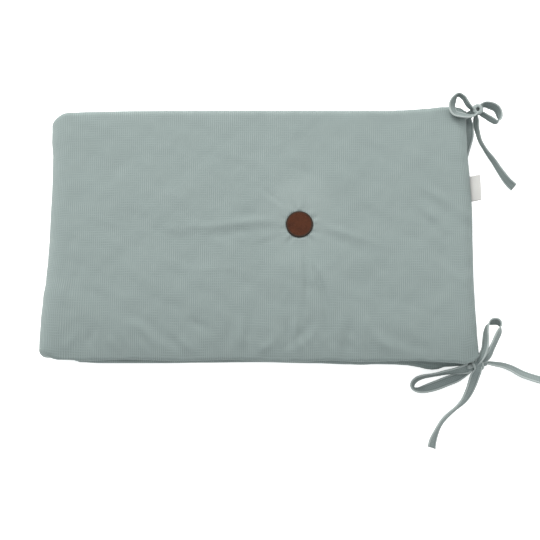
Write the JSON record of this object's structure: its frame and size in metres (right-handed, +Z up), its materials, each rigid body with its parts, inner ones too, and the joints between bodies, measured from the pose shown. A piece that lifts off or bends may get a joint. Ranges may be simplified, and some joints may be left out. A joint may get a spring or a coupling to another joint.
{
  "type": "crib bumper",
  "caption": "Padded cloth crib bumper lying folded, the ribbon ties of its open end knotted in bows, with a round badge pressed into the upper face and a small side label.",
  "frame": {"origin": "middle of the bounding box, on the surface that the bumper lies on", "axes": "+X from the fold towards the open, tied end, +Y towards the back long edge, +Z up from the surface"},
  "size_m": [0.608, 0.4128, 0.052],
  "materials": {
    "cloth": "sage waffle-weave cotton over soft wadding",
    "ribbon": "flat ties sewn of the same cotton",
    "badge_leather": "smooth brown leather with a darker burnished rim",
    "label_tape": "warm white woven tape, left bare"
  },
  "bodies": {
    "root": {"bumper_pad": "cloth", "badge": "badge_leather", "side_label": "label_tape", "tie_top_upper": "ribbon", "tie_top_lower": "ribbon", "tie_bottom_upper": "ribbon", "tie_bottom_lower": "ribbon"}
  },
  "joints": []
}
